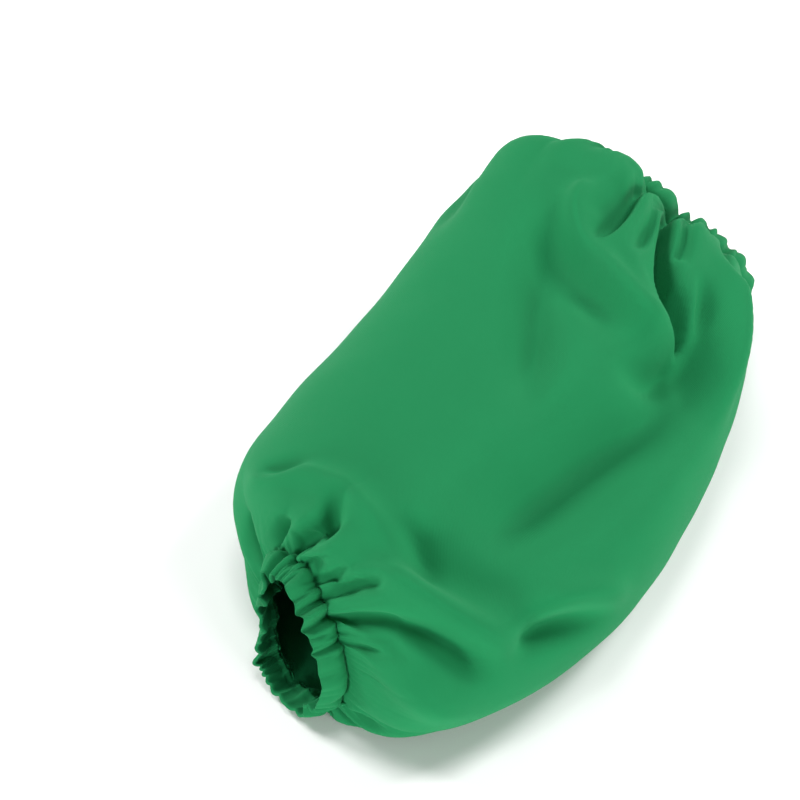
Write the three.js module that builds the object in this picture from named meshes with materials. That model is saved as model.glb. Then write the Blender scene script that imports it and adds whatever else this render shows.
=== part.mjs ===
// A cloth oversleeve lying on its side, in millimetres, +Z up.
// One tube of twill is gathered at both ends into a turned hem with elastic in it. The cloth puffs out
// between the hems and lies flat where it rests. +X runs from the wrist hem to the upper-arm hem.

import * as THREE from "three";

// The cloth
const CLOTH_LENGTH = 322; // between the two rows of stitching
const CLOTH_ROUND = 424; // round the tube where nothing gathers it
const WALL = 1.5; // the cloth with the air that its crumple holds
const GATHERED_WALL = 2; // measured through the pleats, whose steep sides are thinner than that
const GATHER_REACH = 40; // how far from a hem the wall keeps its gathered thickness

// The hems
const STITCH_GAP = 0.3; // hem and tube stay this far apart along the stitching
const SCALLOP = 0.09; // a pucker's crest stands out by this share of the hem's width
// Across a hem: how far out from the stitching, and how far above the tube's outer face.
const HEM_PROFILE = [
  { out: STITCH_GAP, above: 0 },
  { out: 4, above: 1.3 },
  { out: 9, above: 1.1 },
  { out: 12, above: -0.9 },
  { out: 10, above: -2.7 },
  { out: 5, above: -3 },
  { out: STITCH_GAP, above: -2.2 },
];

// Where the middle of the footprint lies in the section table
const MIDDLE = { along: -4.82, across: -11.88 };

// How finely the surface is cut
const PUCKERS = 24; // round each hem
const COLUMNS = PUCKERS * 4; // a column on each crest, each groove and each side of a pucker
const OUTLINE_POINTS = 48;
const CLOTH_ROWS = [
  0, 4, 9, 15, 22, 31, 42, 56, 74, 96, 124, 152, 178, 200, 217, 232, 246, 260, 274, 288, 301, 312, 322,
];

// The smooth tube. Each row is a section at a distance along the cloth: the place of its top along the
// sleeve, its reach to the far and near side, its top, how deep the round would go below the floor, the
// height where it is widest, how far the top leans to the far side, how far the section is turned, in
// degrees, and how much nearer to the wrist its bottom lies than its top.
const SECTIONS = [
  { cloth: 0, along: -138, far: 20, near: -31, crown: 57, base: 1, widest: 27, lean: 13, turn: -19, tip: 12 },
  { cloth: 8, along: -137, far: 29, near: -41, crown: 64, base: -2, widest: 30, lean: 9, turn: -19, tip: 13 },
  { cloth: 24, along: -133, far: 46, near: -64, crown: 73, base: -4, widest: 31, lean: 3, turn: -17, tip: 8 },
  { cloth: 55, along: -114, far: 65, near: -88, crown: 78, base: -4, widest: 31, lean: 0, turn: -10, tip: 0 },
  { cloth: 100, along: -70, far: 73, near: -103, crown: 80, base: -4, widest: 31, lean: 0, turn: -3, tip: 0 },
  { cloth: 165, along: -6, far: 75, near: -102, crown: 82, base: -4, widest: 32, lean: 2, turn: 0, tip: 0 },
  { cloth: 228, along: 57, far: 78, near: -90, crown: 88, base: -4, widest: 33, lean: 6, turn: 0, tip: 0 },
  { cloth: 268, along: 97, far: 80, near: -78, crown: 93, base: -4, widest: 36, lean: 10, turn: 0, tip: 0 },
  { cloth: 296, along: 124, far: 75, near: -66, crown: 92, base: -3, widest: 38, lean: 14, turn: -3, tip: 0 },
  { cloth: 312, along: 136, far: 61, near: -61, crown: 80, base: 1, widest: 36, lean: 15, turn: -5, tip: 0 },
  { cloth: 322, along: 142, far: 44, near: -56, crown: 64, base: 6, widest: 33, lean: 15, turn: -6, tip: 0 },
];
const ROUNDNESS = { upper: 2.2, lower: 2.6 }; // 2 is an ellipse, more is squarer

// The gathers at each hem: broad pleats that run far into the tube and fine ones that soon fade.
// shift is a share of a pleat, and seed makes the pleats uneven.
const GATHERS = [
  { hem: "wrist", pleats: PUCKERS, depth: 2.4, reach: 16, shift: 0, seed: 0.3 },
  { hem: "wrist", pleats: PUCKERS / 2, depth: 2.8, reach: 36, shift: 0.25, seed: 1.1 },
  { hem: "arm", pleats: PUCKERS, depth: 2.2, reach: 14, shift: 0, seed: 0.8 },
  { hem: "arm", pleats: PUCKERS / 2, depth: 2.4, reach: 30, shift: 0.25, seed: 2.0 },
];
// Slow waves round the sleeve make the puckers uneven. seeded is how far a seed shifts a wave.
const UNEVEN_SPACING = [
  { strength: 0.3, cycles: 3, seeded: 1 },
  { strength: 0.22, cycles: 5, seeded: 2.3 },
];
const UNEVEN_DEPTH = [
  { strength: 0.35, cycles: 4, seeded: 1.7 },
  { strength: 0.2, cycles: 7, seeded: 3.1 },
];
const UNEVEN_REACH = [{ strength: 0.35, cycles: 6, seeded: 2.9 }];
const SPACING_SEED = { wrist: 0.3, arm: 0.8 };
const GROOVE = { softness: 0.01, power: 0.4, mean: 0.64 }; // a pleat's narrow groove between round crests
const FADE_POWER = 1.6; // pleats fade slowly at first, then fast
const PLEAT_HELD = 0.45; // share of a pleat's depth at the stitching, where the elastic holds it
const PLEAT_FULL = 9; // and its full depth this far from the stitching

// The main folds and dents, each along a bent line on the cloth. A place is the distance along the cloth
// and the share of the way round from the underside over the far side, the top and the near side.
// depth is positive for a valley and negative for a ridge.
const FOLDS = [
  { from: [270, 0.43], by: [205, 0.49], to: [140, 0.555], width: 12, depth: 3 },
  { from: [322, 0.552], by: [290, 0.548], to: [238, 0.53], width: 6, depth: 6 },
  { from: [262, 0.506], by: [232, 0.505], to: [217, 0.6], width: 7, depth: -3 },
  { from: [322, 0.604], by: [245, 0.585], to: [221, 0.67], width: 8, depth: 9.5 },
  { from: [228, 0.67], by: [203, 0.64], to: [182, 0.598], width: 10, depth: 4 },
  { from: [260, 0.652], by: [230, 0.674], to: [196, 0.704], width: 7, depth: 4 },
  { from: [290, 0.664], by: [244, 0.69], to: [195, 0.726], width: 9, depth: -4.5 },
  { from: [218, 0.68], by: [182, 0.667], to: [138, 0.625], width: 8, depth: 3.5 },
  { from: [42, 0.29], by: [48, 0.42], to: [56, 0.525], width: 9, depth: -3.5 },
  { from: [54, 0.462], by: [30, 0.496], to: [0, 0.49], width: 7, depth: 6 },
  { from: [32, 0.583], by: [15, 0.574], to: [0, 0.59], width: 6, depth: 5 },
  { from: [8, 0.555], by: [36, 0.595], to: [56, 0.715], width: 9, depth: -4 },
  { from: [0, 0.632], by: [24, 0.642], to: [48, 0.748], width: 7, depth: 6.5 },
  { from: [64, 0.535], by: [54, 0.6], to: [70, 0.695], width: 12, depth: 4.5 },
  { from: [58, 0.722], by: [80, 0.745], to: [108, 0.778], width: 12, depth: 6 },
  { from: [96, 0.59], by: [100, 0.64], to: [116, 0.7], width: 18, depth: 3.5 },
  { from: [322, 0.33], by: [270, 0.3], to: [228, 0.34], width: 9, depth: 5 },
  { from: [0, 0.2], by: [40, 0.22], to: [86, 0.27], width: 9, depth: 5 },
  { from: [250, 0.22], by: [190, 0.26], to: [130, 0.24], width: 14, depth: 4 },
];
const FOLD_STEPS = 16;
const FOLD_FADE = 0.3; // share of a fold's length over which a free end fades out
const TURN_FROM = 4; // this near a hem, pleats stand out from the hem
const TURN_TO = 18; // and past this they stand out from the cloth

const TWILL = { color: 0x2d965f, roughness: 0.82, metalness: 0 };
const HEM_TWILL = { color: 0x2b8f5a, roughness: 0.84, metalness: 0 };

const shares = Array.from({ length: COLUMNS }, (_, column) => column / COLUMNS);
const tau = 2 * Math.PI;
const uneven = (waves, share, seed) => {
  const height = (wave) => wave.strength * Math.sin(tau * wave.cycles * share + wave.seeded * seed);
  return waves.reduce((sum, wave) => sum + height(wave), 0);
};
const powered = (value, power) => Math.sign(value) * Math.abs(value) ** power;

// Every column of the section table, smoothed along the cloth.
const SECTION_KEYS = Object.keys(SECTIONS[0]).slice(1);
const sectionCurve = new THREE.CubicInterpolant(
  SECTIONS.map((row) => row.cloth),
  SECTIONS.flatMap((row) => SECTION_KEYS.map((key) => row[key])),
  SECTION_KEYS.length,
);

function sectionAt(cloth) {
  const values = sectionCurve.evaluate(THREE.MathUtils.clamp(cloth, 0, CLOTH_LENGTH));
  return Object.fromEntries(SECTION_KEYS.map((key, place) => [key, values[place]]));
}

// The closed outline of the smooth tube at one distance along the cloth. It starts underneath.
function outlineOf(cloth) {
  const section = sectionAt(cloth);
  const turn = THREE.MathUtils.degToRad(section.turn);
  const middle = (section.far + section.near) / 2;
  const halfWidth = (section.far - section.near) / 2;
  const points = [];
  for (let step = 0; step < OUTLINE_POINTS; step++) {
    const angle = tau * (step / OUTLINE_POINTS - 0.25);
    const upper = Math.sin(angle) >= 0;
    const power = 2 / (upper ? ROUNDNESS.upper : ROUNDNESS.lower);
    const rise = powered(Math.sin(angle), power);
    const height = upper ? section.crown - section.widest : section.widest - section.base;
    const across = middle + halfWidth * powered(Math.cos(angle), power) + section.lean * Math.max(rise, 0);
    const level = section.widest + height * rise;
    const below = (section.crown - level) / (section.crown - section.base);
    const along = section.along - section.tip * below;
    points.push(new THREE.Vector3(along - across * Math.sin(turn), across * Math.cos(turn), level));
  }
  return new THREE.CatmullRomCurve3(points, true);
}

// Many points share an outline, so each is made once.
const outlines = new Map();
function outlineAt(cloth) {
  if (!outlines.has(cloth)) outlines.set(cloth, outlineOf(cloth));
  return outlines.get(cloth);
}

// The way the sleeve runs at a section, level with the floor.
function axisAt(cloth) {
  const turn = THREE.MathUtils.degToRad(sectionAt(cloth).turn);
  return new THREE.Vector3(Math.cos(turn), Math.sin(turn), 0);
}

// Each hem spaces its puckers unevenly, and the cloth between changes from one spacing to the other.
function aroundAt(share, cloth) {
  const wristShift = uneven(UNEVEN_SPACING, share, SPACING_SEED.wrist);
  const armShift = uneven(UNEVEN_SPACING, share, SPACING_SEED.arm);
  const shift = THREE.MathUtils.lerp(wristShift, armShift, cloth / CLOTH_LENGTH);
  return (share + shift / PUCKERS + 1) % 1;
}

// A pleat across: about 0.7 on its round crest and -1 in its narrow groove.
function pleat(turns) {
  const side = Math.sin(Math.PI * turns) ** 2 + GROOVE.softness;
  return 2 * (side ** GROOVE.power - GROOVE.mean);
}

function gatherHeight(share, cloth) {
  let height = 0;
  for (const { hem, pleats, depth, reach, shift, seed } of GATHERS) {
    const away = hem === "wrist" ? cloth : CLOTH_LENGTH - cloth;
    const size = depth * (1 + uneven(UNEVEN_DEPTH, share, seed));
    const fadeAt = reach * (1 + uneven(UNEVEN_REACH, share, seed));
    const fade = Math.exp(-((away / fadeAt) ** FADE_POWER));
    const held = THREE.MathUtils.lerp(PLEAT_HELD, 1, THREE.MathUtils.smoothstep(away, 0, PLEAT_FULL));
    height += size * fade * held * pleat(pleats * share + shift);
  }
  return height;
}

// Each fold as a line of points on the flat cloth, in millimetres.
const onCloth = ([cloth, around]) => new THREE.Vector2(cloth, around * CLOTH_ROUND);
const foldLines = FOLDS.map(({ from, by, to, width, depth }) => ({
  line: new THREE.QuadraticBezierCurve(onCloth(from), onCloth(by), onCloth(to)).getPoints(FOLD_STEPS),
  startsOnHem: from[0] === 0 || from[0] === CLOTH_LENGTH,
  endsOnHem: to[0] === 0 || to[0] === CLOTH_LENGTH,
  width,
  depth,
}));

// How far a point of the flat cloth is from a fold's line, and how far along the line that is.
function nearestOnFold(point, line) {
  let nearest = { distance: Infinity, along: 0 };
  for (let step = 0; step < FOLD_STEPS; step++) {
    const stretch = line[step + 1].clone().sub(line[step]);
    const reach = point.clone().sub(line[step]).dot(stretch) / stretch.lengthSq();
    const share = THREE.MathUtils.clamp(reach, 0, 1);
    const distance = line[step].clone().addScaledVector(stretch, share).distanceTo(point);
    if (distance < nearest.distance) nearest = { distance, along: (step + share) / FOLD_STEPS };
  }
  return nearest;
}

function foldHeight(around, cloth) {
  const point = onCloth([cloth, around]);
  let height = 0;
  for (const { line, startsOnHem, endsOnHem, width, depth } of foldLines) {
    const { distance, along } = nearestOnFold(point, line);
    const start = startsOnHem ? 1 : THREE.MathUtils.smoothstep(along, 0, FOLD_FADE);
    const end = endsOnHem ? 1 : THREE.MathUtils.smoothstep(1 - along, 0, FOLD_FADE);
    height -= depth * start * end * Math.exp(-((distance / width) ** 2));
  }
  return height;
}

// A point of the sleeve: on the smooth tube, and the way that pleats and folds move it there.
function placeAt(share, cloth) {
  const around = aroundAt(share, cloth);
  const point = outlineAt(cloth).getPointAt(around);
  const roundwards = outlineAt(cloth).getTangentAt(around);
  const lengthwise = outlineAt(cloth + 1).getPointAt(around).sub(outlineAt(cloth - 1).getPointAt(around));
  const fromCloth = roundwards.clone().cross(lengthwise).normalize();
  const fromHem = roundwards.clone().cross(axisAt(cloth)).normalize();
  const nearHem = Math.min(cloth, CLOTH_LENGTH - cloth);
  const turned = THREE.MathUtils.smoothstep(nearHem, TURN_FROM, TURN_TO);
  const outward = fromHem.lerp(fromCloth, turned).normalize();
  return { point, outward, height: gatherHeight(share, cloth) + foldHeight(around, cloth) };
}

// Cloth that would sink below the floor lies on it instead.
function onFloor(point, lowest) {
  point.z = Math.max(point.z, lowest, 0);
  return point;
}

function geometryOf(loops, triangles) {
  const geometry = new THREE.BufferGeometry();
  const positions = loops.flat().flatMap((point) => point.toArray());
  geometry.setAttribute("position", new THREE.Float32BufferAttribute(positions, 3));
  geometry.setIndex(triangles);
  geometry.computeVertexNormals();
  return geometry;
}

// The corner numbers of one square between two loops, in turn round the square.
function squareOf(loop, nextLoop, column) {
  const beside = (column + 1) % COLUMNS;
  const [here, next] = [loop * COLUMNS, nextLoop * COLUMNS];
  return [here + column, here + beside, next + beside, next + column];
}

// The two ways to cut a square into triangles, as places in its list of corners.
const CUTS = [
  [0, 1, 2, 0, 2, 3],
  [1, 2, 3, 1, 3, 0],
];

// A ring: each loop of points joins the next, and the last joins the first.
function ringOf(loops) {
  const triangles = [];
  loops.forEach((_, row) => {
    for (const column of shares.keys()) {
      const square = squareOf(row, (row + 1) % loops.length, column);
      triangles.push(...CUTS[0].map((corner) => square[corner]));
    }
  });
  return geometryOf(loops, triangles);
}

// The cut whose diagonal passes nearer to the cloth at the middle of the square, so that it follows folds.
function cutNear(middle, [a, b, c, d]) {
  const along = a.clone().lerp(c, 0.5).distanceTo(middle);
  const across = b.clone().lerp(d, 0.5).distanceTo(middle);
  return along < across ? CUTS[0] : CUTS[1];
}

// A wall between an outer and an inner face, with the outer face's points at the middles of its squares.
// Both faces are cut alike, so that they stay apart. A rim closes the wall at each end.
function wallOf(outer, inner, middles) {
  const last = outer.length - 1;
  const triangles = [];
  for (const column of shares.keys()) {
    for (let row = 0; row < last; row++) {
      const face = squareOf(row, row + 1, column);
      const back = squareOf(outer.length + row, outer.length + row + 1, column);
      const points = face.map((corner) => outer[Math.floor(corner / COLUMNS)][corner % COLUMNS]);
      const cut = cutNear(middles[row][column], points);
      triangles.push(...cut.map((corner) => face[corner]));
      triangles.push(...cut.map((corner) => back[corner]).reverse());
    }
    const wristRim = squareOf(outer.length, 0, column);
    const armRim = squareOf(last, outer.length + last, column);
    for (const rim of [wristRim, armRim]) triangles.push(...CUTS[0].map((corner) => rim[corner]));
  }
  return geometryOf([...outer, ...inner], triangles);
}

function wallAt(cloth) {
  const nearHem = Math.min(cloth, CLOTH_LENGTH - cloth);
  const plain = THREE.MathUtils.smoothstep(nearHem, 0, GATHER_REACH);
  return THREE.MathUtils.lerp(GATHERED_WALL, WALL, plain);
}

// The places round the sleeve at a distance along the cloth, one for each column or halfway to the next.
function placesAt(cloth, halfway = 0) {
  return shares.map((share) => placeAt(share + halfway / COLUMNS, cloth));
}

// A loop of points through those places, some way above the cloth's outer face.
function loopOf(places, above) {
  return places.map(({ point, outward, height }) =>
    onFloor(point.clone().addScaledVector(outward, height + above), -above),
  );
}

// The tube, from wrist to arm.
function sleeveBody() {
  const rows = CLOTH_ROWS.map((cloth) => placesAt(cloth));
  const outer = rows.map((places) => loopOf(places, 0));
  const inner = rows.map((places, row) => loopOf(places, -wallAt(CLOTH_ROWS[row])));
  const middles = CLOTH_ROWS.slice(1).map((cloth, row) =>
    loopOf(placesAt((CLOTH_ROWS[row] + cloth) / 2, 0.5), 0),
  );
  return wallOf(outer, inner, middles);
}

// A hem: its profile carried round the stitching, with a scalloped edge. It runs on outwards from the tube.
function casing(cloth, direction) {
  const away = axisAt(cloth).multiplyScalar(direction);
  const places = placesAt(cloth);
  const loops = HEM_PROFILE.map(({ out, above }) =>
    loopOf(places, above).map((point, column) => {
      const ruffle = out === STITCH_GAP ? 1 : 1 + SCALLOP * pleat(PUCKERS * shares[column]);
      return point.addScaledVector(away, out * ruffle);
    }),
  );
  return ringOf(direction > 0 ? loops : loops.reverse());
}

function piece(name, geometry, finish) {
  const mesh = new THREE.Mesh(geometry, new THREE.MeshStandardMaterial(finish));
  mesh.name = name;
  return mesh;
}

const lying = new THREE.Group();
lying.position.set(-MIDDLE.along, -MIDDLE.across, 0);
lying.add(piece("sleeve_body", sleeveBody(), TWILL));
lying.add(piece("wrist_casing", casing(0, -1), HEM_TWILL));
lying.add(piece("arm_casing", casing(CLOTH_LENGTH, 1), HEM_TWILL));

const oversleeve = new THREE.Group();
oversleeve.add(lying);

export default oversleeve;
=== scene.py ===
# %% [markdown]
# # A cloth oversleeve, dressed in Blender
#
# An oversleeve is a tube of plain green work twill that keeps a shirt's sleeve clean. Both ends are turned
# in to make a hem, and elastic in the hem gathers the cloth. The solids loaded here already have the right
# size and the main folds. This lesson gives them finer cloth: the same form with many more points, soft
# pleats and folds, a stitched line along each hem, and a woven finish.

# %% Load the solids
import math

import bpy
import numpy as np
from mathutils import Euler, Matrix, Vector


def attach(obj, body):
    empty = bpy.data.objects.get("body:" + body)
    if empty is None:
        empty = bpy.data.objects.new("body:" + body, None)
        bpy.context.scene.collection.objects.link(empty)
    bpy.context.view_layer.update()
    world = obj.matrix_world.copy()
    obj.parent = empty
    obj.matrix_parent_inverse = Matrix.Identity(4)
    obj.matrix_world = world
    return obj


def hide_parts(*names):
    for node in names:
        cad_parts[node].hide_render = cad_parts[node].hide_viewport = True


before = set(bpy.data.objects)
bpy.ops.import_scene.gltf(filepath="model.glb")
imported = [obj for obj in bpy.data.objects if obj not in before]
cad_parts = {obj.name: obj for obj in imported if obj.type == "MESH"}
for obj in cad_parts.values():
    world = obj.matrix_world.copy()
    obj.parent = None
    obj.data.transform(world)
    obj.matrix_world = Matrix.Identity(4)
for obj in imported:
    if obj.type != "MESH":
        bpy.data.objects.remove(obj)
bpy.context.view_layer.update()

MM = 0.001
TAU = 2 * math.pi

# %% [markdown]
# ## The camera
#
# A camera could be placed by hand in the viewport. Here it goes round a point in the sleeve by an azimuth
# and an elevation, so that its angle can be read and changed. The lens is long, as in a catalogue picture,
# so that the near hem doesn't look swollen.

# %% Set up the camera
LOOK_AT = Vector((-17.18, 44.88, 42)) * MM
AZIMUTH = math.radians(-57)
ELEVATION = math.radians(42)
DISTANCE = 950 * MM
LENS = 98

camera_data = bpy.data.cameras.new("camera")
camera_data.lens = LENS
camera = bpy.data.objects.new("camera", camera_data)
camera.rotation_euler = Euler((math.pi / 2 - ELEVATION, 0, AZIMUTH))
camera.location = LOOK_AT + camera.rotation_euler.to_matrix() @ Vector((0, 0, DISTANCE))
bpy.context.scene.collection.objects.link(camera)
bpy.context.scene.camera = camera
print("camera at", [round(x, 3) for x in camera.location])

# %% [markdown]
# ## Shader maths
#
# A woven finish is made of many small sums on values. Blender does these with Math nodes, which are slow to
# read when they are added one by one. This class wraps a socket, so that `1 - mask * 0.5` in Python adds the
# nodes itself. Every other node comes from `node`, which sets its settings first and its sockets after.


# %% Write node trees as expressions
class Socket:
    def __init__(self, tree, socket):
        self.tree = tree
        self.socket = socket

    def math(self, operation, *values):
        return node(self.tree, "ShaderNodeMath", {"operation": operation}, dict(enumerate(values)))

    def __add__(self, other):
        return self.math("ADD", self, other)

    def __radd__(self, other):
        return self.math("ADD", other, self)

    def __sub__(self, other):
        return self.math("SUBTRACT", self, other)

    def __rsub__(self, other):
        return self.math("SUBTRACT", other, self)

    def __mul__(self, other):
        return self.math("MULTIPLY", self, other)

    def __rmul__(self, other):
        return self.math("MULTIPLY", other, self)

    def __truediv__(self, other):
        return self.math("DIVIDE", self, other)

    def sine(self):
        return self.math("SINE", self)

    def of(self, output):
        """Another output of the same node."""
        return Socket(self.tree, self.socket.node.outputs[output])


def node(tree, kind, settings=None, sockets=None, output=0):
    made = tree.nodes.new(kind)
    for name, value in (settings or {}).items():
        setattr(made, name, value)
    for name, value in (sockets or {}).items():
        if isinstance(value, Socket):
            tree.links.new(value.socket, made.inputs[name])
        else:
            made.inputs[name].default_value = value
    return Socket(tree, made.outputs[output]) if made.outputs else made


# %% [markdown]
# ## The studio
#
# The floor is a pale disc. It ends where the lamps grow
# weak, and past it the camera sees a white backdrop. The backdrop could light the scene as brightly as it
# looks, but that would fill every fold, so only rays from the camera see it white and it lights weakly.
# The light is soft and plain, as in a catalogue picture: a ring of lamps stands round the sleeve, stronger
# behind it than in front. Light from the sides leaves the walls of the folds darker than their crests, and
# that draws them. Each lamp's direction is given as the camera sees it: to the right, up and nearer.

# %% Lay the floor
FLOOR_RADIUS = 1050 * MM
FLOOR_SIDES = 96
FLOOR_COLOUR = (0.9, 0.9, 0.9, 1)
FLOOR_ROUGHNESS = 0.9

floor_mesh = bpy.data.meshes.new("floor")
angles = TAU * np.arange(FLOOR_SIDES) / FLOOR_SIDES
rim = np.stack([np.cos(angles), np.sin(angles), np.zeros(FLOOR_SIDES)], axis=-1) * FLOOR_RADIUS
floor_mesh.from_pydata(rim.tolist(), [], [range(FLOOR_SIDES)])
floor = bpy.data.objects.new("floor", floor_mesh)
bpy.context.scene.collection.objects.link(floor)
paper = bpy.data.materials.new("floor_paper")
paper.use_nodes = True
paper.node_tree.nodes["Principled BSDF"].inputs["Base Color"].default_value = FLOOR_COLOUR
paper.node_tree.nodes["Principled BSDF"].inputs["Roughness"].default_value = FLOOR_ROUGHNESS
floor_mesh.materials.append(paper)
print("floor:", round(2 * FLOOR_RADIUS, 2), "m across")

# %% Hang the backdrop and the lamps
BACKDROP_LIGHT = 0.22
BACKDROP_LOOK = 1.0
LAMP_AWAY = 1500 * MM
LAMP_SIZE = 450 * MM
LAMPS = [
    {"name": "back_left_lamp", "right": -0.7, "up": 0.7, "nearer": 0.1, "power": 19},
    {"name": "back_right_lamp", "right": 0.7, "up": 0.7, "nearer": 0.2, "power": 17},
    {"name": "top_lamp", "right": 0, "up": 0.74, "nearer": 0.67, "power": 6},
    {"name": "right_lamp", "right": 0.55, "up": -0.4, "nearer": 0.7, "power": 13},
    {"name": "left_lamp", "right": -0.55, "up": -0.45, "nearer": 0.65, "power": 14},
]

world = bpy.data.worlds.new("studio")
world.use_nodes = True
backdrop = world.node_tree.nodes["Background"]
backdrop.inputs["Color"].default_value = (1, 1, 1, 1)
seen = node(world.node_tree, "ShaderNodeLightPath").of("Is Camera Ray")
strength = BACKDROP_LIGHT + seen * (BACKDROP_LOOK - BACKDROP_LIGHT)
world.node_tree.links.new(strength.socket, backdrop.inputs["Strength"])
bpy.context.scene.world = world

for row in LAMPS:
    data = bpy.data.lights.new(row["name"], "AREA")
    data.size = LAMP_SIZE
    data.energy = row["power"]
    lamp = bpy.data.objects.new(row["name"], data)
    seen_from_camera = Vector((row["right"], row["up"], row["nearer"])).normalized()
    towards = camera.rotation_euler.to_matrix() @ seen_from_camera
    lamp.location = LOOK_AT + towards * LAMP_AWAY
    lamp.rotation_euler = towards.to_track_quat("Z", "Y").to_euler()
    bpy.context.scene.collection.objects.link(lamp)
    print(row["name"], "at", [round(x, 2) for x in lamp.location])
bpy.context.scene.view_settings.view_transform = "Standard"

# %% [markdown]
# ## The twill
#
# Twill is woven so that its threads make fine diagonal ribs, here 0.7 mm apart, and a polyester blend gives
# it a faint bloom at glancing angles. A picture of cloth could be wrapped round the sleeve, but a formula
# stays sharp at any distance. The UV map says where each point lay on the flat cloth, so the ribs run with
# the threads and bend with every fold.

# %% Make the twill
CLOTH_LENGTH = 322.0
CLOTH_ROUND = 424.0
RIB_PITCH = 0.7
THREAD_PITCH = 0.45
WEAVE = {"rib": 0.5, "thread": 0.3, "slub": 0.8}
FADING = {"shade": 0.55, "slub": 0.35, "rib": 0.06}
SLUB_SCALE = 0.6
SHADE_SCALE = 0.025
WEAVE_DEPTH = 0.12
DYE = (0.008, 0.192, 0.063, 1)
DYE_WORN = (0.0105, 0.216, 0.074, 1)


def twill(name, flat_size, dye, worn):
    """Woven green cloth. flat_size is the millimetres of cloth that the UV map covers."""
    made = bpy.data.materials.new(name)
    made.use_nodes = True
    tree = made.node_tree
    tree.nodes.clear()
    uv = node(tree, "ShaderNodeUVMap", {"uv_map": "cloth"})
    flat = node(tree, "ShaderNodeVectorMath", {"operation": "MULTIPLY"}, {0: uv, 1: (*flat_size, 1)})
    axes = node(tree, "ShaderNodeSeparateXYZ", None, {"Vector": flat})
    across, along = axes.of("X"), axes.of("Y")
    rib = ((across + along) * (TAU / RIB_PITCH)).sine()
    thread = (across * (TAU / THREAD_PITCH)).sine() * (along * (TAU / THREAD_PITCH)).sine()
    slub = node(tree, "ShaderNodeTexNoise", None, {"Vector": flat, "Scale": SLUB_SCALE, "Detail": 3.0})
    shade = node(tree, "ShaderNodeTexNoise", None, {"Vector": flat, "Scale": SHADE_SCALE, "Detail": 4.0})
    weave = rib * WEAVE["rib"] + thread * WEAVE["thread"] + slub * WEAVE["slub"]
    faded = shade * FADING["shade"] + slub * FADING["slub"] + rib * FADING["rib"]
    colour = node(
        tree, "ShaderNodeMix", {"data_type": "RGBA"}, {"Factor": faded, 6: dye, 7: worn}, output=2
    )
    bump = node(
        tree, "ShaderNodeBump", None, {"Strength": 0.35, "Distance": WEAVE_DEPTH * MM, "Height": weave}
    )
    shader = node(
        tree,
        "ShaderNodeBsdfPrincipled",
        None,
        {
            "Base Color": colour,
            "Roughness": 0.74 + slub * 0.14,
            "Normal": bump,
            "Specular IOR Level": 0.12,
            "Diffuse Roughness": 0.4,
            "Sheen Weight": 0.06,
            "Sheen Roughness": 0.45,
            "Sheen Tint": (0.45, 0.9, 0.62, 1),
        },
    )
    node(tree, "ShaderNodeOutputMaterial", None, {"Surface": shader})
    return made


sleeve_twill = twill("sleeve_twill", (CLOTH_ROUND, CLOTH_LENGTH), DYE, DYE_WORN)
print("twill nodes:", len(sleeve_twill.node_tree.nodes))

# %% [markdown]
# ## The tube before it is gathered
#
# The sleeve lies on its side, puffed out between the hems. Its smooth form is a tube through a short table
# of sections, the same sections that the solids were made from. A tube could be lofted by hand with a
# bevelled curve, but a table keeps the outline where it was measured. The cloth that would sink below the
# floor is laid on it.
#
# In the table, cloth is the distance along the cloth from the wrist's stitching, and along is where that is
# on the floor. far and near are the two sides, crown and base the top and the underside, and widest the
# height where the tube is widest. lean shifts the crown sideways, turn swings the section round the
# vertical, and tip carries its underside further towards the wrist. All are millimetres or degrees.

# %% Table of sections
SECTION_KEYS = ("cloth", "along", "far", "near", "crown", "base", "widest", "lean", "turn", "tip")
SECTIONS = np.array(
    [
        (0, -138, 20, -31, 57, 1, 27, 13, -19, 12),
        (8, -137, 29, -41, 64, -2, 30, 9, -19, 13),
        (24, -133, 46, -64, 73, -4, 31, 3, -17, 8),
        (55, -114, 65, -88, 78, -4, 31, 0, -10, 0),
        (100, -70, 73, -103, 80, -4, 31, 0, -3, 0),
        (165, -6, 75, -102, 82, -4, 32, 2, 0, 0),
        (228, 57, 78, -90, 88, -4, 33, 6, 0, 0),
        (268, 97, 80, -78, 93, -4, 36, 10, 0, 0),
        (296, 124, 75, -66, 92, -3, 38, 14, -3, 0),
        (312, 136, 61, -61, 80, 1, 36, 15, -5, 0),
        (322, 142, 44, -56, 64, 6, 33, 15, -6, 0),
    ],
    dtype=float,
)
UPPER_ROUNDNESS = 2.2
LOWER_ROUNDNESS = 2.6
MIDDLE = np.array((-4.82, -11.88, 0))
OUTLINE_POINTS = 480


def smooth_through(at, knots, values):
    """A curve through a table's column. Its slope at a row is the mean of the slopes on both sides."""
    rise = np.diff(values) / np.diff(knots)
    slope = np.concatenate([[0], (rise[1:] + rise[:-1]) / 2, [0]])
    row = np.clip(np.searchsorted(knots, at, side="right") - 1, 0, len(knots) - 2)
    gap = knots[row + 1] - knots[row]
    t = (at - knots[row]) / gap
    start = values[row] + (t - 2 * t**2 + t**3) * gap * slope[row]
    blend = 3 * t**2 - 2 * t**3
    end = (t**3 - t**2) * gap * slope[row + 1]
    return start + blend * (values[row + 1] - values[row]) + end


def section_at(cloth):
    return {
        key: smooth_through(cloth, SECTIONS[:, 0], SECTIONS[:, place])
        for place, key in enumerate(SECTION_KEYS)
    }


def powered(value, power):
    return np.sign(value) * np.abs(value) ** power


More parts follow.
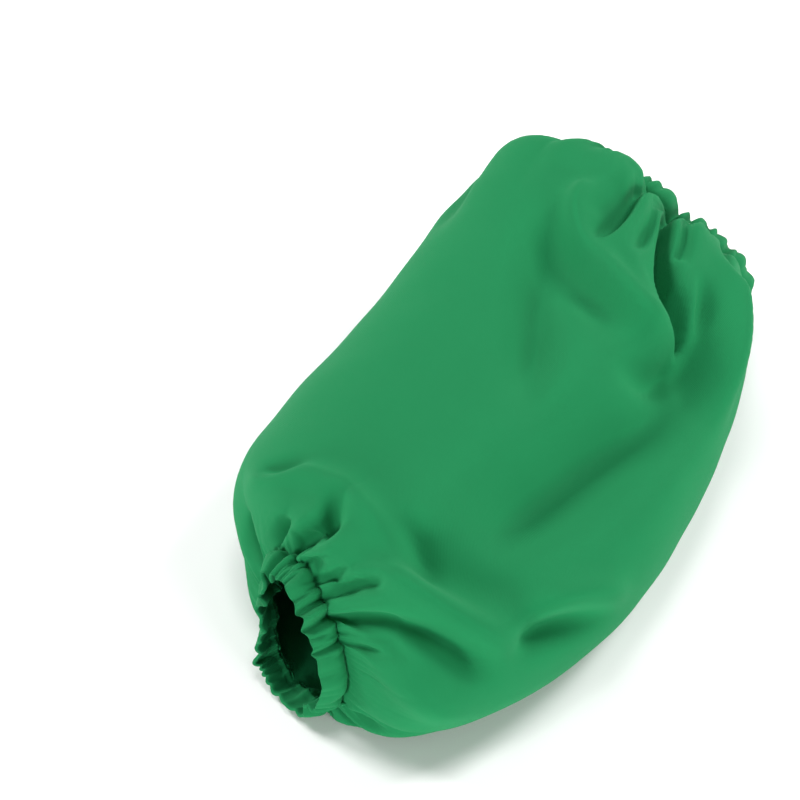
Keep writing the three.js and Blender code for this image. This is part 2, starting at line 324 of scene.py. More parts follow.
def outline(cloth, around):
    """Points of the smooth tube at one distance along the cloth, at shares of the way round it."""
    section = section_at(cloth)
    angle = TAU * (np.linspace(0, 1, OUTLINE_POINTS + 1) - 0.25)
    upper = np.sin(angle) >= 0
    power = 2 / np.where(upper, UPPER_ROUNDNESS, LOWER_ROUNDNESS)
    rise = powered(np.sin(angle), power)
    height = np.where(upper, section["crown"] - section["widest"], section["widest"] - section["base"])
    middle = (section["far"] + section["near"]) / 2
    half_width = (section["far"] - section["near"]) / 2
    across = middle + half_width * powered(np.cos(angle), power) + section["lean"] * np.maximum(rise, 0)
    level = section["widest"] + height * rise
    below = (section["crown"] - level) / (section["crown"] - section["base"])
    tipped = section["along"] - section["tip"] * below
    turn = np.radians(section["turn"])
    points = np.stack([tipped - across * np.sin(turn), across * np.cos(turn), level], axis=-1)
    steps = np.linalg.norm(np.diff(points, axis=0), axis=1)
    share = np.concatenate([[0], np.cumsum(steps)]) / steps.sum()
    return np.stack([np.interp(around % 1, share, points[:, k]) for k in range(3)], axis=-1) - MIDDLE


print("widest section:", round(float(np.ptp(outline(120.0, np.linspace(0, 1, 400))[:, 1])), 1), "mm")

# %% [markdown]
# ## The gathers
#
# Elastic pulls 424 mm of cloth into a ring of about half that. The spare cloth stands up in puckers: small
# round crests with narrow grooves between them along the stitching, and broader pleats further in. The
# pleats of each hem are spaced unevenly. Where slack cloth pulls a hem smooth there are calm places, which
# keep only a part of their gathers.

# %% Space the pleats and find the calm places
UNEVEN_SPACING = ((0.3, 3, 1), (0.22, 5, 2.3))
SPACING_SEED = {"wrist": 0.3, "arm": 0.8}
SPACING_SHARE = 24
CALM_PLACES = [
    {"hem": "wrist", "share": 0.76, "spread": 0.08, "kept": 0.35},
    {"hem": "wrist", "share": 0.36, "spread": 0.05, "kept": 0.5},
    {"hem": "arm", "share": 0.77, "spread": 0.08, "kept": 0.4},
]


def uneven(waves, share, seed):
    """A sum of slow waves round the sleeve. A wave has a strength, a number of cycles and a seed's weight."""
    return sum(strength * np.sin(TAU * cycles * share + seeded * seed) for strength, cycles, seeded in waves)


def smoothstep(value, low, high):
    t = np.clip((value - low) / (high - low), 0, 1)
    return t * t * (3 - 2 * t)


def around_at(share, cloth):
    """Where a share lies on the cloth: each hem has its own uneven spacing, and the rest is between."""
    wrist = uneven(UNEVEN_SPACING, share, SPACING_SEED["wrist"])
    arm = uneven(UNEVEN_SPACING, share, SPACING_SEED["arm"])
    return share + (wrist + (arm - wrist) * cloth / CLOTH_LENGTH) / SPACING_SHARE


def gathered(hem, share):
    """How much of the gathers is left at each share of the way round: less where the cloth is calm."""
    left = 1.0
    for place in CALM_PLACES:
        if place["hem"] == hem:
            near = np.exp(-(((share % 1 - place["share"]) / place["spread"]) ** 2))
            left = left * (1 - (1 - place["kept"]) * near)
    return left


some = np.linspace(0, 1, 500)
print("gathers left at the wrist hem:", round(float(gathered("wrist", some).mean()), 2), "of all on average")

# %% [markdown]
# No two puckers are alike on sewn cloth. They could be drawn one by one, but a rule gives them at once: their
# widths are drawn at random, from a fixed seed so that each run makes the same sleeve, and a wide pucker
# mostly stands higher than a narrow one. Each hem has one row of puckers along its stitching and one along
# its free edge.

# %% Raise the gathers
PUCKERS = {"wrist": 36, "wrist edge": 34, "arm": 44, "arm edge": 50}
PUCKER_SEED = {"wrist": 5, "wrist edge": 6, "arm": 11, "arm edge": 12}
PUCKER_WIDTHS = (0.4, 1.9)
PUCKER_CRESTS = (0.6, 1.25)
PUCKER_DEPTH = {"wrist": 1.7, "wrist edge": 1.7, "arm": 1.5, "arm edge": 1.5}
PUCKER_REACH = 10.0
GROOVE_SOFTNESS = 0.01
GROOVE_POWER = 0.4
PLEATS = 12
PLEAT_ROWS = [
    {"hem": "wrist", "depth": 2.8, "reach": 36, "seed": 1.1},
    {"hem": "arm", "depth": 2.4, "reach": 30, "seed": 2.0},
]
PLEAT_SHIFT = 0.25
PLEAT_MEAN = 0.64
PLEAT_HELD = 0.45
PLEAT_FULL = 9.0
UNEVEN_DEPTH = ((0.35, 4, 1.7), (0.2, 7, 3.1))
UNEVEN_REACH = ((0.35, 6, 2.9),)
FADE_POWER = 1.6


def round_crest(turns):
    """One for each turn: 1 on a round crest and near 0 in a narrow groove."""
    return (np.sin(np.pi * turns) ** 2 + GROOVE_SOFTNESS) ** GROOVE_POWER


def pucker_height(line, share):
    """The puckers along one line round the sleeve: the stitching or the free edge of a hem."""
    count = PUCKERS[line]
    chance = np.random.default_rng(PUCKER_SEED[line])
    widths = chance.uniform(*PUCKER_WIDTHS, count)
    crests = widths / widths.mean() * chance.uniform(*PUCKER_CRESTS, count)
    edges = np.concatenate([[0], np.cumsum(widths)]) / widths.sum()
    turns = np.interp(share % 1, edges, np.arange(count + 1))
    depth = PUCKER_DEPTH[line] * gathered(line.split()[0], share)
    return depth * (crests[turns.astype(int) % count] * round_crest(turns) - PLEAT_MEAN)


def away_from(hem, cloth):
    return cloth if hem == "wrist" else CLOTH_LENGTH - cloth


def gather_height(share, cloth):
    height = 0
    for row in PLEAT_ROWS:
        away = np.maximum(away_from(row["hem"], cloth), 0)
        size = row["depth"] * gathered(row["hem"], share) * (1 + uneven(UNEVEN_DEPTH, share, row["seed"]))
        reach = row["reach"] * (1 + uneven(UNEVEN_REACH, share, row["seed"]))
        held = PLEAT_HELD + (1 - PLEAT_HELD) * smoothstep(away, 0, PLEAT_FULL)
        broad = 2 * (round_crest(PLEATS * share + PLEAT_SHIFT) - PLEAT_MEAN)
        height = height + size * held * broad * np.exp(-((away / reach) ** FADE_POWER))
        height = height + pucker_height(row["hem"], share) * np.exp(-((away / PUCKER_REACH) ** FADE_POWER))
    return height


print("gathers 8 mm from the wrist hem:", round(float(np.ptp(gather_height(some, 8.0))), 1), "mm high")

# %% [markdown]
# ## The folds
#
# Past the gathers, the slack cloth sags into longer folds. Each is a bent line on the flat cloth with a
# width and a depth, a valley if the depth is positive and a ridge if it is negative. A soft brush drawn along
# the line moves the cloth, which is how one would sculpt it by hand, and a brush has no seam where two
# stretches of the line meet. A place in the table is the distance along the cloth and the share of the way
# round it, from the underside over the far side, the top and the near side. A free end fades out over a share
# of the line, and an end without a fade runs on into the hem.

# %% Table of folds
FOLD_KEYS = ("name", "from", "by", "to", "width", "depth", "fade_in", "fade_out")
FOLDS = [
    ("middle valley", (255, 0.443), (187, 0.502), (125, 0.555), 11, 11, 0.4, 0.4),
    ("puff over the arm hem", (313, 0.43), (313, 0.48), (312, 0.533), 9, -6, 0.3, 0.1),
    ("sag of the arm hem", (322, 0.56), (322, 0.6), (322, 0.645), 20, 7, 0.2, 0.3),
    ("first arm crease", (322, 0.554), (268, 0.543), (240, 0.515), 3.9, 17, 0, 0.35),
    ("branch of the first", (290, 0.53), (266, 0.518), (250, 0.502), 4, 6, 0.3, 0.4),
    ("upper loop", (276, 0.5), (246, 0.462), (228, 0.53), 6, -8, 0.3, 0.2),
    ("lower loop", (236, 0.52), (211, 0.582), (218, 0.64), 8.5, -9, 0.2, 0.2),
    ("outside the loop", (254, 0.472), (212, 0.485), (198, 0.608), 11, 9, 0.4, 0.4),
    ("second arm crease", (322, 0.582), (258, 0.566), (236, 0.566), 4, 10, 0, 0.5),
    ("ridge before the third", (257, 0.573), (233, 0.553), (225, 0.607), 5, -4, 0.3, 0.3),
    ("third arm crease", (322, 0.605), (224, 0.568), (229, 0.665), 3.5, 24, 0.06, 0.12),
    ("hook of the third", (245, 0.615), (235, 0.64), (222, 0.668), 4.5, 10, 0.3, 0.2),
    ("fan of the third", (224, 0.672), (198, 0.645), (180, 0.585), 8, 15, 0.1, 0.5),
    ("fourth arm crease", (322, 0.622), (255, 0.617), (260, 0.617), 2.8, 8, 0, 0.3),
    ("fifth arm crease", (322, 0.674), (275, 0.684), (272, 0.685), 3, 7, 0, 0.4),
    ("beside the lobe", (262, 0.647), (236, 0.672), (193, 0.702), 5, 9, 0.3, 0.5),
    ("lobe", (287, 0.667), (260, 0.702), (196, 0.728), 8, -11, 0.3, 0.4),
    ("slant", (221, 0.68), (187, 0.674), (130, 0.62), 14, 14, 0.15, 0.5),
    ("above the roll", (50, 0.337), (50, 0.389), (65, 0.405), 6, 7, 0.3, 0.4),
    ("roll", (40, 0.315), (60, 0.418), (55, 0.482), 8, -5, 0.3, 0.3),
    ("edge of the puff", (60, 0.452), (54, 0.49), (47, 0.555), 7, -6, 0.3, 0.4),
    ("first wrist crease", (27, 0.315), (18, 0.283), (0, 0.285), 3.2, 11, 0.4, 0),
    ("second wrist crease", (21, 0.423), (4, 0.395), (0, 0.345), 3.2, 12, 0.4, 0),
    ("third wrist crease", (53, 0.46), (40, 0.505), (0, 0.445), 5, 11, 0.4, 0),
    ("fourth wrist crease", (31, 0.597), (28, 0.564), (0, 0.582), 4.5, 9, 0.4, 0),
    ("ridge under the fourth", (0, 0.603), (12, 0.627), (28, 0.617), 3.5, -3, 0, 0.5),
    ("long ridge", (32, 0.565), (42, 0.599), (61, 0.737), 7.5, -10, 0.3, 0.3),
    ("long valley", (0, 0.625), (42, 0.63), (48, 0.748), 5.5, 12, 0, 0.3),
    ("branch of the long valley", (13, 0.648), (20, 0.674), (26, 0.697), 3.5, 3.5, 0.4, 0.5),
    ("fifth wrist crease", (17, 0.685), (6, 0.682), (0, 0.685), 3, 8, 0.4, 0),
    ("wrist bulge", (14, 0.7), (26, 0.735), (40, 0.785), 9, -7, 0.3, 0.3),
    ("sixth wrist crease", (18, 0.83), (6, 0.845), (0, 0.88), 4, 8, 0.4, 0),
    ("beside the puff", (65, 0.525), (58, 0.571), (50, 0.627), 6, 7, 0.4, 0.5),
    ("above the long ridge", (59, 0.552), (54, 0.627), (70, 0.687), 13, 12, 0.3, 0.3),
    ("low valley", (61, 0.723), (68, 0.7), (102, 0.75), 7, 12, 0.3, 0.4),
    ("low ridge", (71, 0.688), (83, 0.692), (111, 0.748), 7, -8, 0.3, 0.3),
    ("dent in the side", (66, 0.605), (115, 0.6), (190, 0.65), 20, 22, 0.3, 0.3),
    ("far arm crease", (322, 0.33), (270, 0.3), (228, 0.34), 9, 5, 0, 0.3),
    ("far wrist crease", (0, 0.2), (40, 0.22), (86, 0.27), 9, 5, 0, 0.3),
    ("far valley", (250, 0.22), (190, 0.26), (130, 0.24), 14, 4, 0.3, 0.3),
]
print(len(FOLDS), "folds, the deepest", max(row[FOLD_KEYS.index("depth")] for row in FOLDS), "mm")

# %% Press the folds into the cloth
BRUSH_STEPS = 48
PAST_HEM = 0.25


def brush_line(fold):
    """Points along a fold on the flat cloth, how strongly each presses, and the length between them."""
    first = -PAST_HEM if fold["fade_in"] == 0 else 0
    last = 1 + PAST_HEM if fold["fade_out"] == 0 else 1
    t = np.linspace(first, last, BRUSH_STEPS)
    places = (fold["from"], fold["by"], fold["to"])
    start, bend, end = (np.array((along, share * CLOTH_ROUND)) for along, share in places)
    line = np.outer((1 - t) ** 2, start) + np.outer(2 * t * (1 - t), bend) + np.outer(t**2, end)
    press = np.ones(BRUSH_STEPS)
    if fold["fade_in"]:
        press = press * smoothstep(t, 0, fold["fade_in"])
    if fold["fade_out"]:
        press = press * smoothstep(1 - t, 0, fold["fade_out"])
    return line, press, np.linalg.norm(np.gradient(line, axis=0), axis=1)


def fold_height(around, cloth):
    """How far the folds move the cloth: outwards where positive, inwards where negative."""
    height = np.zeros(np.broadcast(around, cloth).shape)
    for row in FOLDS:
        fold = dict(zip(FOLD_KEYS, row))
        for (along, across), press, step in zip(*brush_line(fold)):
            beside = (around * CLOTH_ROUND - across + CLOTH_ROUND / 2) % CLOTH_ROUND - CLOTH_ROUND / 2
            distance = ((cloth - along) ** 2 + beside**2) / fold["width"] ** 2
            height -= fold["depth"] * press * step / (math.sqrt(math.pi) * fold["width"]) * np.exp(-distance)
    return height


print("folds across the middle:", round(float(np.ptp(fold_height(some, CLOTH_LENGTH / 2))), 1), "mm deep")

# %% [markdown]
# ## The cloth as a surface
#
# Gathers, folds and a faint crumple all move the smooth tube outwards or inwards. Close to a hem they move
# it square to the hem, because the ring of stitching holds it there, and further in square to the cloth.
# A fold keeps half its depth at the stitching. Rows past the stitching at either end belong to the hems,
# which are the same cloth.

# %% Work out the surface
TURN_FROM = 4.0
TURN_TO = 18.0
FOLD_AT_STITCHING = 0.5
FOLD_FULL = 10.0
STITCH_DIP = 0.9
STITCH_WIDTH = 1.8
CRUMPLE_WAVES = 40
CRUMPLE_HEIGHT = 0.5
CRUMPLE_SEED = 7
CRUMPLE_CYCLES = 14
CRUMPLE_LENGTHS = (28, 120)
CRUMPLE_FADING = 4
FLOOR_SOFTNESS = 1.0


def crumple_height(around, cloth):
    """Faint slow waves at all angles, as handled cloth has."""
    chance = np.random.default_rng(CRUMPLE_SEED)
    height = np.zeros(np.broadcast(around, cloth).shape)
    for _ in range(CRUMPLE_WAVES):
        cycles = chance.integers(-CRUMPLE_CYCLES, CRUMPLE_CYCLES + 1)
        length = chance.uniform(*CRUMPLE_LENGTHS)
        phase = chance.uniform(0, TAU)
        strength = 1 / (1 + abs(cycles) / CRUMPLE_FADING)
        height += strength * np.sin(TAU * (cycles * around + cloth / length) + phase)
    return CRUMPLE_HEIGHT * height / math.sqrt(CRUMPLE_WAVES)


def unit(vectors):
    return vectors / np.linalg.norm(vectors, axis=-1, keepdims=True)


def on_floor(points):
    """Cloth that would sink below the floor lies on it, with a soft edge where it leaves the floor."""
    level = points[..., 2]
    points[..., 2] = (level + np.sqrt(level**2 + FLOOR_SOFTNESS**2)) / 2
    return points


def surface(cloth, share):
    """The cloth's outer face at rows of distances along it and columns of shares round it."""
    rows, columns = np.meshgrid(cloth, share, indexing="ij")
    sewn = np.clip(rows, 0, CLOTH_LENGTH)
    around = around_at(columns, sewn)
    turn = np.radians(section_at(sewn)["turn"])
    axis = np.stack([np.cos(turn), np.sin(turn), np.zeros_like(turn)], axis=-1)
    tube = np.array([outline(row, place) for row, place in zip(sewn[:, 0], around)])
    tube += axis * (rows - sewn)[..., None]
    roundwards = np.roll(tube, -1, axis=1) - np.roll(tube, 1, axis=1)
    from_cloth = unit(np.cross(roundwards, np.gradient(tube, axis=0)))
    from_hem = unit(np.cross(roundwards, axis))
    near_hem = np.minimum(rows, CLOTH_LENGTH - rows)
    turned = smoothstep(near_hem, TURN_FROM, TURN_TO)[..., None]
    outward = unit(from_hem + (from_cloth - from_hem) * turned)
    given = FOLD_AT_STITCHING + (1 - FOLD_AT_STITCHING) * smoothstep(near_hem, 0, FOLD_FULL)
    height = gather_height(columns, sewn) + given * fold_height(around, sewn) + crumple_height(around, sewn)
    height -= STITCH_DIP * np.exp(-((near_hem / STITCH_WIDTH) ** 2))
    return tube + outward * height[..., None], outward


print("crumple:", round(float(np.ptp(crumple_height(some, CLOTH_LENGTH / 2))), 1), "mm high in the middle")

# %% [markdown]
# The surface becomes a grid: rows along the cloth and columns round it. Even rows would do for the middle,
# but the gathers need finer ones, so the rows crowd together towards both hems.

# %% Lay out the grid
COLUMNS = 288
ROWS = 150
ROW_CROWDING = 0.6
columns_round = np.arange(COLUMNS) / COLUMNS
step = np.linspace(0, 1, ROWS)
cloth_rows = CLOTH_LENGTH * (step - ROW_CROWDING * np.sin(TAU * step) / TAU)
shaped = on_floor(surface(cloth_rows, columns_round)[0])
print("cloth:", shaped.shape[0], "rows of", shaped.shape[1], "points")

# %% [markdown]
# ## Letting the gathers settle
#
# The formula's puckers are too regular. Blender's Cloth can settle them: its rest shape is the tube before
# it was gathered, with more cloth round each row than the row has room for, so the spare cloth buckles
# into pleats of its own. The stitching is pinned, the middle of the sleeve is held by soft springs so that
# its folds stay, and the cloth beside the hems is left nearly free, apart from its calm places.

# %% Work out the rest shape and the hold
SPARE_CLOTH = 0.6
GATHERS_END = 70.0
HOLD_FROM = 2.0
HOLD_TO = 45.0
HOLD_MOST = 0.95
LENGTH_WAVES = 5


def tube_faces(rows, columns, closed=False):
    here = np.arange(rows * columns).reshape(rows, columns)
    lower, upper = (here, np.roll(here, -1, axis=0)) if closed else (here[:-1], here[1:])
    return np.stack([lower, np.roll(lower, -1, 1), np.roll(upper, -1, 1), upper], axis=-1).reshape(-1, 4)


def smoothed_round(values, waves):
    """Values round each row with only their slow waves left."""
    kept = np.fft.rfft(values, axis=1)
    kept *= np.exp(-((np.arange(kept.shape[1]) / waves) ** 2))[:, None]
    return np.fft.irfft(kept, values.shape[1], axis=1)


def ungathered(points):
    """The tube at rest: its columns keep their length, and its rows have their share of spare cloth."""
    away = np.minimum(cloth_rows, CLOTH_LENGTH - cloth_rows)
    spare = SPARE_CLOTH * (1 - smoothstep(away, 0, GATHERS_END))
    girth = np.linalg.norm(np.roll(points, -1, axis=1) - points, axis=-1).sum(axis=1)
    radius = (girth + spare * (CLOTH_ROUND - girth))[:, None] / TAU
    steps = np.linalg.norm(np.diff(points, axis=0, prepend=points[:1]), axis=-1, keepdims=True)
    length = smoothed_round(np.cumsum(steps, axis=0), LENGTH_WAVES)[..., 0]
    angle = TAU * around_at(columns_round, cloth_rows[:, None])
    return np.stack([length, radius * np.sin(angle), -radius * np.cos(angle)], axis=-1)


def hold_at(cloth, share):
    """How firmly a point keeps its place: 0 is free and 1 is pinned. A calm place is held like the middle."""
    hem = "wrist" if cloth < CLOTH_LENGTH / 2 else "arm"
    away = away_from(hem, cloth)
    free = gathered(hem, share) ** 2 * (1 - smoothstep(away, HOLD_FROM, HOLD_TO))
    return 1.0 if away == 0 else HOLD_MOST * float(1 - free)


print("rest shape:", [round(float(side), 1) for side in np.ptp(ungathered(shaped), axis=(0, 1))], "mm")

# %% [markdown]
# The sheet is simulated ten times its size, where Cloth's default numbers behave well. An Edge Split that
# splits nothing comes first in the stack, because Cloth only reads its rest shape behind a modifier that can
# change the mesh. A short run leaves fine crinkles, as in paper, so only the broader waves of what it moved
# are kept. No point moves further than a set limit, and the result is an ordinary mesh.

# %% Settle the gathers
SIM_SCALE = 10 * MM
SIM_FRAMES = 20
MOST_MOVED = 9.0
FINEST_WAVES = 90
ROW_SMOOTHING = 2
SETTINGS = {
    "pin_stiffness": 4,
    "tension_stiffness": 15,
    "compression_stiffness": 10,
    "shear_stiffness": 3,
    "bending_stiffness": 5,
    "air_damping": 2,
}
GRAVITY_SHARE = 0.1


def without_crinkles(moved):
    """Moves with only their broader waves left, round the sleeve and along it."""
    smooth = smoothed_round(moved, FINEST_WAVES)
    for _ in range(ROW_SMOOTHING):
        smooth[1:-1] = smooth[:-2] / 4 + smooth[1:-1] / 2 + smooth[2:] / 4
    return smooth


def settled(points):
    """The points after Cloth has run on them, as far as they may move."""
    mesh = bpy.data.meshes.new("settling")
    mesh.from_pydata((points * SIM_SCALE).reshape(-1, 3).tolist(), [], tube_faces(*points.shape[:2]).tolist())
    sheet = bpy.data.objects.new("settling", mesh)
    bpy.context.scene.collection.objects.link(sheet)
    sheet.shape_key_add(name="shaped")
    rest = sheet.shape_key_add(name="ungathered")
    rest.data.foreach_set("co", (ungathered(points) * SIM_SCALE).astype(np.float32).ravel())
    held = sheet.vertex_groups.new(name="held")
    for row, cloth in enumerate(cloth_rows):
        for column, share in enumerate(columns_round):
            held.add([row * COLUMNS + column], hold_at(cloth, share), "REPLACE")
    passing = sheet.modifiers.new("passing", "EDGE_SPLIT")
    passing.use_edge_angle = False
    passing.use_edge_sharp = False
    cloth = sheet.modifiers.new("cloth", "CLOTH")
    cloth.settings.rest_shape_key = rest
    cloth.settings.vertex_group_mass = held.name
    for name, value in SETTINGS.items():
        setattr(cloth.settings, name, value)
    cloth.settings.effector_weights.gravity = GRAVITY_SHARE
    cloth.point_cache.frame_end = SIM_FRAMES
    for frame_number in range(1, SIM_FRAMES + 1):
        bpy.context.scene.frame_set(frame_number)
    done = sheet.evaluated_get(bpy.context.evaluated_depsgraph_get()).to_mesh()
    places = np.empty(points.size, np.float32)
    done.vertices.foreach_get("co", places)
    bpy.context.scene.frame_set(1)
    bpy.data.objects.remove(sheet)
    moved = without_crinkles(places.reshape(points.shape) / SIM_SCALE - points)
    far = np.linalg.norm(moved, axis=-1, keepdims=True)
    print("settled by", round(float(far.mean()), 2), "mm on average, at most", round(float(far.max()), 1))
    return on_floor(points + moved * np.minimum(1, MOST_MOVED / np.maximum(far, 1e-6)))


sleeve_points = settled(shaped)

# %% [markdown]
# ## The sleeve
#
# The cloth between the two rows of stitching becomes the sleeve. A Solidify modifier gives the sheet its
# thickness inwards. The UV map keeps each point's place on the flat cloth.

# %% Make the sleeve
CLOTH_THICKNESS = 0.9


def tube_piece(name, points, flat, material, closed=False):
    """A piece made of rows and columns of points that joins up round the columns. flat is each row's UV."""
    rows, columns = points.shape[:2]
    mesh = bpy.data.meshes.new(name)
    mesh.from_pydata((points * MM).reshape(-1, 3).tolist(), [], tube_faces(rows, columns, closed).tolist())
    square = np.indices((rows if closed else rows - 1, columns)).transpose(1, 2, 0)
    corners = np.stack([square + step for step in ((0, 0), (0, 1), (1, 1), (1, 0))], axis=2).reshape(-1, 2)
    places = np.stack([corners[:, 1] / columns, flat[corners[:, 0]]], axis=-1)
    mesh.uv_layers.new(name="cloth").data.foreach_set("uv", places.astype(np.float32).ravel())
    mesh.shade_smooth()
    mesh.materials.append(material)
    made = bpy.data.objects.new(name, mesh)
    bpy.context.scene.collection.objects.link(made)
    return made


sleeve = tube_piece("sleeve_cloth", sleeve_points, cloth_rows / CLOTH_LENGTH, sleeve_twill)
wall = sleeve.modifiers.new("thickness", "SOLIDIFY")
wall.thickness = CLOTH_THICKNESS * MM
wall.offset = -1
print("sleeve:", len(sleeve.data.polygons), "faces on its outer side")

# %% [markdown]
# ## The hems
#
# Each end of the tube is turned in over the elastic and sewn down. What shows is a soft band about 12 mm
# wide that narrows towards its free edge, and at the wrist its far side curls in. It could be a ring of its
# own, but on the real sleeve it is the same cloth, so it starts from the same surface, with more columns
# for the small puckers. Along the free edge the cloth puckers anew, so across the band one row of puckers
# gives way to the other. The inner face follows the outer one at the thickness of two layers and the
# elastic, and a round turn joins the two.

# %% Make the hems
HEM_WIDTH = 11.5
HEM_ROWS = 16
HEM_COLUMNS = 2 * COLUMNS
HEM_TUCK = 0.5
HEM_SUNK = 0.25
HEM_SWELL = 1.5
HEM_TAPER = 2.0
HEM_CURL = {"wrist": 5.0, "arm": 0.0}
CURL_AT = 0.27
CURL_SPREAD = 0.14
HEM_SCALLOP = 0.6
HEM_SLANT = 0.006
HEM_THICKNESS = 2.6
SWELL_LEAN = 0.8
THICKNESS_LEAN = 0.75
EDGE_PUCKERS_FROM = 0.1
EDGE_PUCKERS_TO = 0.8
TURN_STEPS = 6
INNER_WAVES = 16
HEM_DYE = (0.009, 0.184, 0.060, 1)
hem_twill = twill("hem_twill", (CLOTH_ROUND, 2 * HEM_WIDTH), HEM_DYE, DYE_WORN)


def hem(name, line, end, direction):
    """A closed band past the stitching at one end of the cloth, and the line that the stitches follow."""
    share = np.arange(HEM_COLUMNS) / HEM_COLUMNS
    past = np.linspace(-HEM_TUCK, HEM_WIDTH, HEM_ROWS)
    outer, outward = surface(end * CLOTH_LENGTH + direction * past, share)
    out = np.clip(past / HEM_WIDTH, 0, 1)[:, None]
    slanted = share + HEM_SLANT * out * np.sin(2 * TAU * share + end)
    edge = pucker_height(line + " edge", slanted)
    taper = HEM_TAPER + HEM_CURL[line] * np.exp(-(((share - CURL_AT) / CURL_SPREAD) ** 2))
    swell = HEM_SWELL * np.sin(np.pi * out**SWELL_LEAN) - taper * out**2 - HEM_SUNK * (1 - out)
    changed = smoothstep(out, EDGE_PUCKERS_FROM, EDGE_PUCKERS_TO)
    swell = swell + (edge - pucker_height(line, share)) * changed
    along = unit(outer[-1] - outer[-2])
    outer = outer + outward * swell[..., None] + along * (HEM_SCALLOP * edge * out**2)[..., None]
    roundwards = np.roll(outer, -1, axis=1) - np.roll(outer, 1, axis=1)
    normal = np.cross(roundwards, np.gradient(outer, axis=0) * direction)
    normal = unit(smoothed_round(unit(normal), INNER_WAVES))
    thickness = HEM_THICKNESS * (1 + np.sin(np.pi * out**THICKNESS_LEAN)) / 2
    inner = outer - normal * thickness[..., None]
    middle, half = (outer[-1] + inner[-1]) / 2, (outer[-1] - inner[-1]) / 2
    reach = along * np.linalg.norm(half, axis=-1, keepdims=True)
    angles = np.pi * np.arange(1, TURN_STEPS) / TURN_STEPS
    turn = [middle + half * np.cos(angle) + reach * np.sin(angle) for angle in angles]
    loop = np.concatenate([outer, turn, inner[::-1]])
    loop = loop if direction > 0 else loop[::-1]
    band = tube_piece(name, on_floor(loop), np.linspace(0, 1, len(loop) + 1), hem_twill, closed=True)
    return band, on_floor(outer[1])


wrist_hem, wrist_line = hem("wrist_hem", "wrist", 0, -1)
arm_hem, arm_line = hem("arm_hem", "arm", 1, 1)
print("hems:", len(wrist_hem.data.polygons), "faces each")

# %% [markdown]
# ## The stitches
#
# One row of machine stitches holds each hem. About a hundred beads of thread are one shape repeated, so
# Geometry Nodes makes them: the line of the seam becomes a curve, the curve becomes evenly spaced points,
# and a bead turned along the line goes on each point. The tree's inputs are the sizes that a sewing machine
# would be set to, so a longer stitch is one number away.

# %% Sew the hems
STITCH_PITCH = 2.6
STITCH_LENGTH = 2.1
STITCH_THICKNESS = 0.4
STITCH_UNEVEN = 0.12
STITCH_SEED = 4
THREAD_COLOUR = (0.0085, 0.172, 0.057, 1)

thread = bpy.data.materials.new("thread")
thread.use_nodes = True
thread.node_tree.nodes["Principled BSDF"].inputs["Base Color"].default_value = THREAD_COLOUR
thread.node_tree.nodes["Principled BSDF"].inputs["Roughness"].default_value = 0.7
thread.node_tree.nodes["Principled BSDF"].inputs["Specular IOR Level"].default_value = 0.15


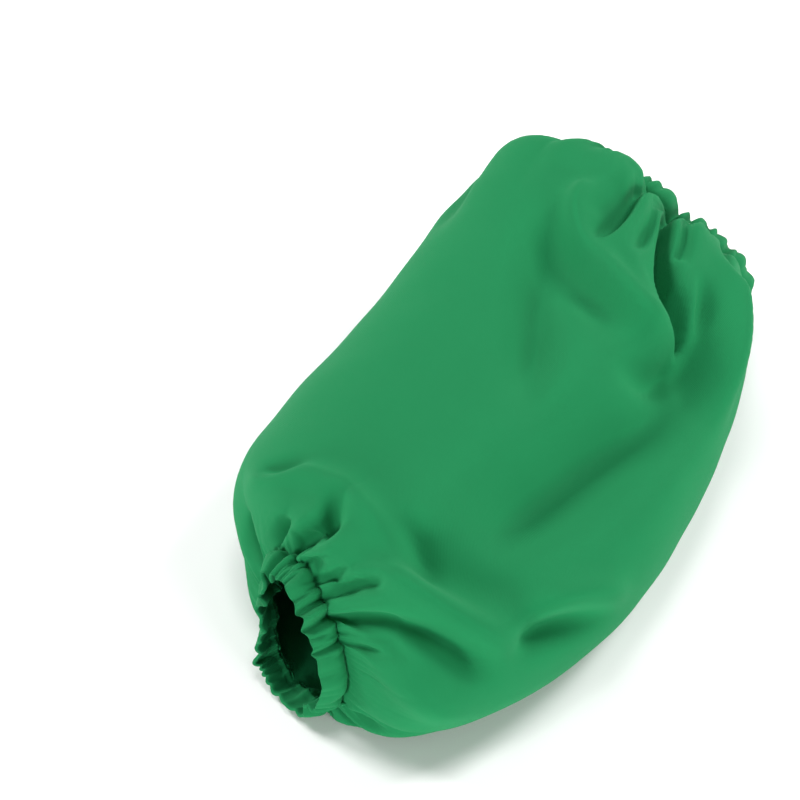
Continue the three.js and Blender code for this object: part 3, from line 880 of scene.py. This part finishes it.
def stitch_tree():
    tree = bpy.data.node_groups.new("stitches", "GeometryNodeTree")
    tree.interface.new_socket("Line", in_out="INPUT", socket_type="NodeSocketGeometry")
    for size in ("Pitch", "Length", "Thickness"):
        tree.interface.new_socket(size, in_out="INPUT", socket_type="NodeSocketFloat")
    tree.interface.new_socket("Thread", in_out="INPUT", socket_type="NodeSocketMaterial")
    tree.interface.new_socket("Stitches", in_out="OUTPUT", socket_type="NodeSocketGeometry")
    given = node(tree, "NodeGroupInput")
    curve = node(tree, "GeometryNodeMeshToCurve", None, {"Mesh": given.of("Line")})
    points = node(
        tree, "GeometryNodeResampleCurve", {"mode": "LENGTH"}, {"Curve": curve, "Length": given.of("Pitch")}
    )
    bead = node(tree, "GeometryNodeMeshUVSphere", None, {"Segments": 8, "Rings": 6, "Radius": 0.5})
    tangent = node(tree, "GeometryNodeInputTangent")
    turned = node(tree, "FunctionNodeAlignRotationToVector", {"axis": "X"}, {"Vector": tangent})
    uneven_length = node(
        tree,
        "FunctionNodeRandomValue",
        {"data_type": "FLOAT"},
        {2: 1 - STITCH_UNEVEN, 3: 1 + STITCH_UNEVEN, "Seed": STITCH_SEED},
        output=1,
    )
    size = node(
        tree,
        "ShaderNodeCombineXYZ",
        None,
        {"X": given.of("Length") * uneven_length, "Y": given.of("Thickness"), "Z": given.of("Thickness")},
    )
    placed = node(
        tree,
        "GeometryNodeInstanceOnPoints",
        None,
        {"Points": points, "Instance": bead, "Rotation": turned, "Scale": size},
    )
    real = node(tree, "GeometryNodeRealizeInstances", None, {"Geometry": placed})
    smooth = node(tree, "GeometryNodeSetShadeSmooth", None, {"Geometry": real})
    finished = node(
        tree, "GeometryNodeSetMaterial", None, {"Geometry": smooth, "Material": given.of("Thread")}
    )
    node(tree, "NodeGroupOutput", None, {"Stitches": finished})
    return tree


def stitches(name, line, tree):
    """A row of stitches along a closed line of points."""
    count = len(line)
    mesh = bpy.data.meshes.new(name + "_line")
    mesh.from_pydata((line * MM).tolist(), [(k, (k + 1) % count) for k in range(count)], [])
    guide = bpy.data.objects.new(name + "_line", mesh)
    bpy.context.scene.collection.objects.link(guide)
    sewing = guide.modifiers.new("stitches", "NODES")
    sewing.node_group = tree
    inputs = {item.name: item.identifier for item in tree.interface.items_tree if item.in_out == "INPUT"}
    sewing[inputs["Pitch"]] = STITCH_PITCH * MM
    sewing[inputs["Length"]] = STITCH_LENGTH * MM
    sewing[inputs["Thickness"]] = STITCH_THICKNESS * MM
    sewing[inputs["Thread"]] = thread
    made = bpy.data.meshes.new_from_object(guide.evaluated_get(bpy.context.evaluated_depsgraph_get()))
    bpy.data.objects.remove(guide)
    row = bpy.data.objects.new(name, made)
    bpy.context.scene.collection.objects.link(row)
    return row


sewing_tree = stitch_tree()
wrist_stitches = stitches("wrist_stitches", wrist_line, sewing_tree)
arm_stitches = stitches("arm_stitches", arm_line, sewing_tree)
print("stitches:", [len(row.data.polygons) for row in (wrist_stitches, arm_stitches)], "faces")

# %% [markdown]
# ## What each piece stands for
#
# The finer pieces take the place of the solids, and all of them ride on the one body.

# %% Put the pieces on the body
for made, solid, finish in (
    (sleeve, "sleeve_body", "twill"),
    (wrist_hem, "wrist_casing", "hem_twill"),
    (arm_hem, "arm_casing", "hem_twill"),
):
    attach(made, "root")
    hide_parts(solid)
for row in (wrist_stitches, arm_stitches):
    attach(row, "root")
